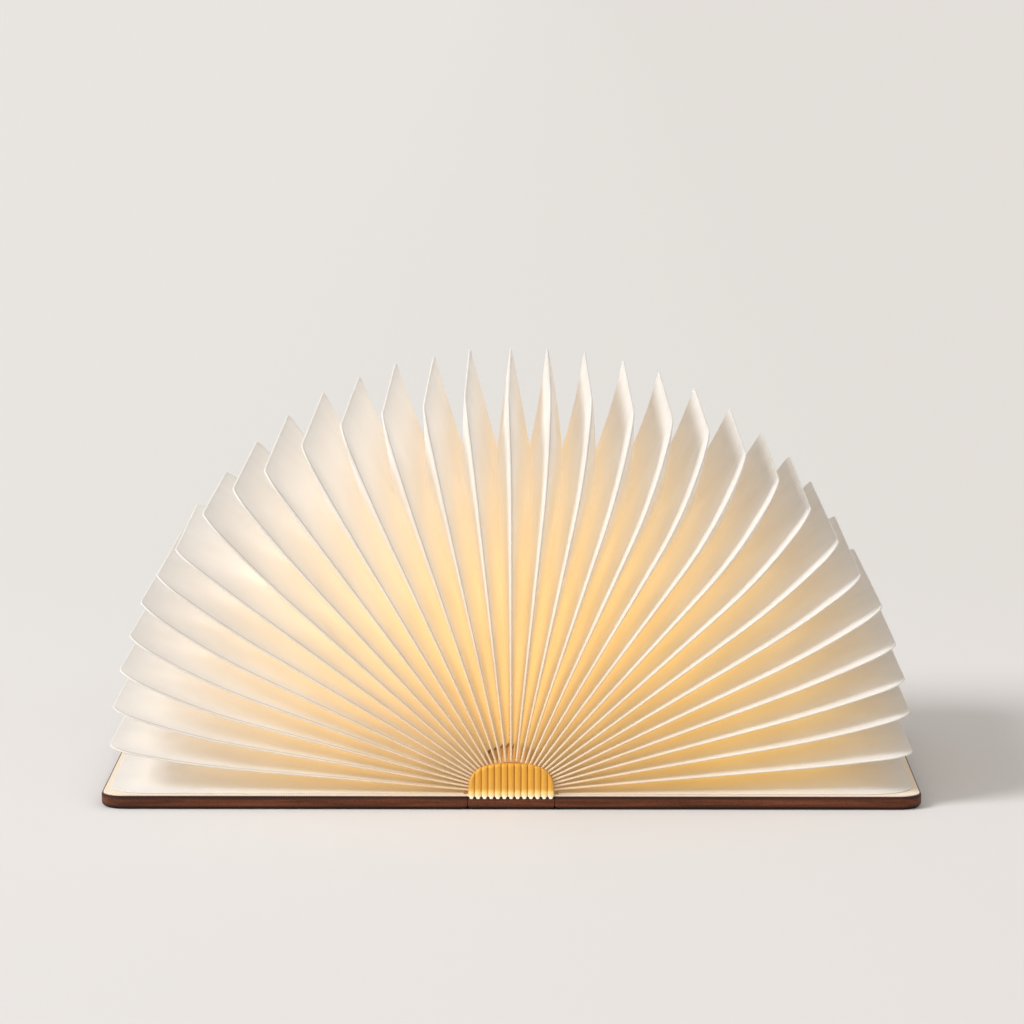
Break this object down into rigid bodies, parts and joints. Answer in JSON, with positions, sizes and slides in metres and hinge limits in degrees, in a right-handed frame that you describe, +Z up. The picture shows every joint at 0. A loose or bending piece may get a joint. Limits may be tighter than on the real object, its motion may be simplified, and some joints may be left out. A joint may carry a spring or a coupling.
{
  "type": "folding book lamp",
  "caption": "Rechargeable book lamp: hinged walnut covers open flat and fan out translucent paper leaves round a light in the spine.",
  "frame": {"origin": "centre of the spine board's underside, with the book open flat", "axes": "+X along the open book to the right cover, +Y to the back, +Z up through the fan of leaves"},
  "size_m": [0.2728, 0.158, 0.1405],
  "materials": {
    "walnut": "oiled walnut",
    "lining": "cream cloth",
    "paper": "matte translucent paper",
    "fold_paper": "matte translucent paper",
    "amber_cap": "reeded translucent",
    "diffuser": "frosted",
    "tray": "satin",
    "steel": "satin",
    "circuit": "solder mask",
    "led_base": "white solder mask",
    "led": "clear",
    "cell": "foil pouch",
    "lead": "insulated wire",
    "pins": "plated",
    "chip": "moulded"
  },
  "bodies": {
    "spine": {"spine_board": "walnut", "light_tray": "tray", "tray_screws": "steel", "led_board": "led_base", "led_chips": "led", "led_pins": "pins", "battery": "cell", "battery_leads": "lead", "control_board": "circuit", "hall_sensor": "chip", "usb_c_port": "steel", "diffuser": "diffuser", "front_cap": "amber_cap", "rear_cap": "amber_cap", "leaf_centre": "paper", "left_folds": "fold_paper", "right_folds": "fold_paper", "left_hinge_tape": "lining", "right_hinge_tape": "lining"},
    "left_cover": {"left_cover": "walnut", "left_liner": "lining", "left_magnets": "steel", "switch_magnet": "steel", "left_end_leaf": "paper"},
    "right_cover": {"right_cover": "walnut", "right_liner": "lining", "right_magnets": "steel", "right_end_leaf": "paper"},
    "leaf_left_01": {"leaf_left_01": "paper"},
    "leaf_left_02": {"leaf_left_02": "paper"},
    "leaf_left_03": {"leaf_left_03": "paper"},
    "leaf_left_04": {"leaf_left_04": "paper"},
    "leaf_left_05": {"leaf_left_05": "paper"},
    "leaf_left_06": {"leaf_left_06": "paper"},
    "leaf_left_07": {"leaf_left_07": "paper"},
    "leaf_left_08": {"leaf_left_08": "paper"},
    "leaf_left_09": {"leaf_left_09": "paper"},
    "leaf_left_10": {"leaf_left_10": "paper"},
    "leaf_left_11": {"leaf_left_11": "paper"},
    "leaf_left_12": {"leaf_left_12": "paper"},
    "leaf_left_13": {"leaf_left_13": "paper"},
    "leaf_left_14": {"leaf_left_14": "paper"},
    "leaf_left_15": {"leaf_left_15": "paper"},
    "leaf_right_01": {"leaf_right_01": "paper"},
    "leaf_right_02": {"leaf_right_02": "paper"},
    "leaf_right_03": {"leaf_right_03": "paper"},
    "leaf_right_04": {"leaf_right_04": "paper"},
    "leaf_right_05": {"leaf_right_05": "paper"},
    "leaf_right_06": {"leaf_right_06": "paper"},
    "leaf_right_07": {"leaf_right_07": "paper"},
    "leaf_right_08": {"leaf_right_08": "paper"},
    "leaf_right_09": {"leaf_right_09": "paper"},
    "leaf_right_10": {"leaf_right_10": "paper"},
    "leaf_right_11": {"leaf_right_11": "paper"},
    "leaf_right_12": {"leaf_right_12": "paper"},
    "leaf_right_13": {"leaf_right_13": "paper"},
    "leaf_right_14": {"leaf_right_14": "paper"},
    "leaf_right_15": {"leaf_right_15": "paper"}
  },
  "joints": [
    {"name": "left_cover_hinge", "type": "hinge", "parent": "spine", "child": "left_cover", "pos_m": [-0.01455, 0, 0.0045], "axis": [0, 1, 0], "range_deg": [0, 90], "deforming": ["left_folds", "left_hinge_tape"]},
    {"name": "leaf_left_01_fold", "type": "hinge", "parent": "spine", "child": "leaf_left_01", "pos_m": [-0.00176, 0, 0.01554], "axis": [0, 1, 0], "range_deg": [0, 6.21]},
    {"name": "leaf_left_02_fold", "type": "hinge", "parent": "spine", "child": "leaf_left_02", "pos_m": [-0.00335, 0, 0.01526], "axis": [0, 1, 0], "range_deg": [0, 12.4]},
    {"name": "leaf_left_03_fold", "type": "hinge", "parent": "spine", "child": "leaf_left_03", "pos_m": [-0.00477, 0, 0.01485], "axis": [0, 1, 0], "range_deg": [0, 18.54]},
    {"name": "leaf_left_04_fold", "type": "hinge", "parent": "spine", "child": "leaf_left_04", "pos_m": [-0.00605, 0, 0.01434], "axis": [0, 1, 0], "range_deg": [0, 24.62]},
    {"name": "leaf_left_05_fold", "type": "hinge", "parent": "spine", "child": "leaf_left_05", "pos_m": [-0.00719, 0, 0.01377], "axis": [0, 1, 0], "range_deg": [0, 30.62]},
    {"name": "leaf_left_06_fold", "type": "hinge", "parent": "spine", "child": "leaf_left_06", "pos_m": [-0.0082, 0, 0.01314], "axis": [0, 1, 0], "range_deg": [0, 36.52]},
    {"name": "leaf_left_07_fold", "type": "hinge", "parent": "spine", "child": "leaf_left_07", "pos_m": [-0.00911, 0, 0.01248], "axis": [0, 1, 0], "range_deg": [0, 42.32]},
    {"name": "leaf_left_08_fold", "type": "hinge", "parent": "spine", "child": "leaf_left_08", "pos_m": [-0.00991, 0, 0.0118], "axis": [0, 1, 0], "range_deg": [0, 48]},
    {"name": "leaf_left_09_fold", "type": "hinge", "parent": "spine", "child": "leaf_left_09", "pos_m": [-0.01062, 0, 0.0111], "axis": [0, 1, 0], "range_deg": [0, 53.57]},
    {"name": "leaf_left_10_fold", "type": "hinge", "parent": "spine", "child": "leaf_left_10", "pos_m": [-0.01125, 0, 0.01039], "axis": [0, 1, 0], "range_deg": [0, 59.02]},
    {"name": "leaf_left_11_fold", "type": "hinge", "parent": "spine", "child": "leaf_left_11", "pos_m": [-0.01182, 0, 0.00967], "axis": [0, 1, 0], "range_deg": [0, 64.37]},
    {"name": "leaf_left_12_fold", "type": "hinge", "parent": "spine", "child": "leaf_left_12", "pos_m": [-0.01234, 0, 0.00892], "axis": [0, 1, 0], "range_deg": [0, 69.62]},
    {"name": "leaf_left_13_fold", "type": "hinge", "parent": "spine", "child": "leaf_left_13", "pos_m": [-0.01281, 0, 0.00813], "axis": [0, 1, 0], "range_deg": [0, 74.79]},
    {"name": "leaf_left_14_fold", "type": "hinge", "parent": "spine", "child": "leaf_left_14", "pos_m": [-0.01325, 0, 0.00727], "axis": [0, 1, 0], "range_deg": [0, 79.9]},
    {"name": "leaf_left_15_fold", "type": "hinge", "parent": "spine", "child": "leaf_left_15", "pos_m": [-0.01368, 0, 0.00628], "axis": [0, 1, 0], "range_deg": [0, 84.96]},
    {"name": "right_cover_hinge", "type": "hinge", "parent": "spine", "child": "right_cover", "pos_m": [0.01455, 0, 0.0045], "axis": [0, -1, 0], "range_deg": [0, 90], "deforming": ["right_folds", "right_hinge_tape"]},
    {"name": "leaf_right_01_fold", "type": "hinge", "parent": "spine", "child": "leaf_right_01", "pos_m": [0.00176, 0, 0.01554], "axis": [0, -1, 0], "range_deg": [0, 6.21]},
    {"name": "leaf_right_02_fold", "type": "hinge", "parent": "spine", "child": "leaf_right_02", "pos_m": [0.00335, 0, 0.01526], "axis": [0, -1, 0], "range_deg": [0, 12.4]},
    {"name": "leaf_right_03_fold", "type": "hinge", "parent": "spine", "child": "leaf_right_03", "pos_m": [0.00477, 0, 0.01485], "axis": [0, -1, 0], "range_deg": [0, 18.54]},
    {"name": "leaf_right_04_fold", "type": "hinge", "parent": "spine", "child": "leaf_right_04", "pos_m": [0.00605, 0, 0.01434], "axis": [0, -1, 0], "range_deg": [0, 24.62]},
    {"name": "leaf_right_05_fold", "type": "hinge", "parent": "spine", "child": "leaf_right_05", "pos_m": [0.00719, 0, 0.01377], "axis": [0, -1, 0], "range_deg": [0, 30.62]},
    {"name": "leaf_right_06_fold", "type": "hinge", "parent": "spine", "child": "leaf_right_06", "pos_m": [0.0082, 0, 0.01314], "axis": [0, -1, 0], "range_deg": [0, 36.52]},
    {"name": "leaf_right_07_fold", "type": "hinge", "parent": "spine", "child": "leaf_right_07", "pos_m": [0.00911, 0, 0.01248], "axis": [0, -1, 0], "range_deg": [0, 42.32]},
    {"name": "leaf_right_08_fold", "type": "hinge", "parent": "spine", "child": "leaf_right_08", "pos_m": [0.00991, 0, 0.0118], "axis": [0, -1, 0], "range_deg": [0, 48]},
    {"name": "leaf_right_09_fold", "type": "hinge", "parent": "spine", "child": "leaf_right_09", "pos_m": [0.01062, 0, 0.0111], "axis": [0, -1, 0], "range_deg": [0, 53.57]},
    {"name": "leaf_right_10_fold", "type": "hinge", "parent": "spine", "child": "leaf_right_10", "pos_m": [0.01125, 0, 0.01039], "axis": [0, -1, 0], "range_deg": [0, 59.02]},
    {"name": "leaf_right_11_fold", "type": "hinge", "parent": "spine", "child": "leaf_right_11", "pos_m": [0.01182, 0, 0.00967], "axis": [0, -1, 0], "range_deg": [0, 64.37]},
    {"name": "leaf_right_12_fold", "type": "hinge", "parent": "spine", "child": "leaf_right_12", "pos_m": [0.01234, 0, 0.00892], "axis": [0, -1, 0], "range_deg": [0, 69.62]},
    {"name": "leaf_right_13_fold", "type": "hinge", "parent": "spine", "child": "leaf_right_13", "pos_m": [0.01281, 0, 0.00813], "axis": [0, -1, 0], "range_deg": [0, 74.79]},
    {"name": "leaf_right_14_fold", "type": "hinge", "parent": "spine", "child": "leaf_right_14", "pos_m": [0.01325, 0, 0.00727], "axis": [0, -1, 0], "range_deg": [0, 79.9]},
    {"name": "leaf_right_15_fold", "type": "hinge", "parent": "spine", "child": "leaf_right_15", "pos_m": [0.01368, 0, 0.00628], "axis": [0, -1, 0], "range_deg": [0, 84.96]}
  ],
  "couplings": [
    {"joint": "leaf_left_01_fold", "follows": "left_cover_hinge", "ratio": 0.069003},
    {"joint": "leaf_left_02_fold", "follows": "left_cover_hinge", "ratio": 0.13776},
    {"joint": "leaf_left_03_fold", "follows": "left_cover_hinge", "ratio": 0.20602},
    {"joint": "leaf_left_04_fold", "follows": "left_cover_hinge", "ratio": 0.27357},
    {"joint": "leaf_left_05_fold", "follows": "left_cover_hinge", "ratio": 0.34022},
    {"joint": "leaf_left_06_fold", "follows": "left_cover_hinge", "ratio": 0.4058},
    {"joint": "leaf_left_07_fold", "follows": "left_cover_hinge", "ratio": 0.47019},
    {"joint": "leaf_left_08_fold", "follows": "left_cover_hinge", "ratio": 0.53333},
    {"joint": "leaf_left_09_fold", "follows": "left_cover_hinge", "ratio": 0.59519},
    {"joint": "leaf_left_10_fold", "follows": "left_cover_hinge", "ratio": 0.6558},
    {"joint": "leaf_left_11_fold", "follows": "left_cover_hinge", "ratio": 0.71522},
    {"joint": "leaf_left_12_fold", "follows": "left_cover_hinge", "ratio": 0.77357},
    {"joint": "leaf_left_13_fold", "follows": "left_cover_hinge", "ratio": 0.83102},
    {"joint": "leaf_left_14_fold", "follows": "left_cover_hinge", "ratio": 0.88776},
    {"joint": "leaf_left_15_fold", "follows": "left_cover_hinge", "ratio": 0.944},
    {"joint": "leaf_right_01_fold", "follows": "right_cover_hinge", "ratio": 0.069003},
    {"joint": "leaf_right_02_fold", "follows": "right_cover_hinge", "ratio": 0.13776},
    {"joint": "leaf_right_03_fold", "follows": "right_cover_hinge", "ratio": 0.20602},
    {"joint": "leaf_right_04_fold", "follows": "right_cover_hinge", "ratio": 0.27357},
    {"joint": "leaf_right_05_fold", "follows": "right_cover_hinge", "ratio": 0.34022},
    {"joint": "leaf_right_06_fold", "follows": "right_cover_hinge", "ratio": 0.4058},
    {"joint": "leaf_right_07_fold", "follows": "right_cover_hinge", "ratio": 0.47019},
    {"joint": "leaf_right_08_fold", "follows": "right_cover_hinge", "ratio": 0.53333},
    {"joint": "leaf_right_09_fold", "follows": "right_cover_hinge", "ratio": 0.59519},
    {"joint": "leaf_right_10_fold", "follows": "right_cover_hinge", "ratio": 0.6558},
    {"joint": "leaf_right_11_fold", "follows": "right_cover_hinge", "ratio": 0.71522},
    {"joint": "leaf_right_12_fold", "follows": "right_cover_hinge", "ratio": 0.77357},
    {"joint": "leaf_right_13_fold", "follows": "right_cover_hinge", "ratio": 0.83102},
    {"joint": "leaf_right_14_fold", "follows": "right_cover_hinge", "ratio": 0.88776},
    {"joint": "leaf_right_15_fold", "follows": "right_cover_hinge", "ratio": 0.944}
  ]
}
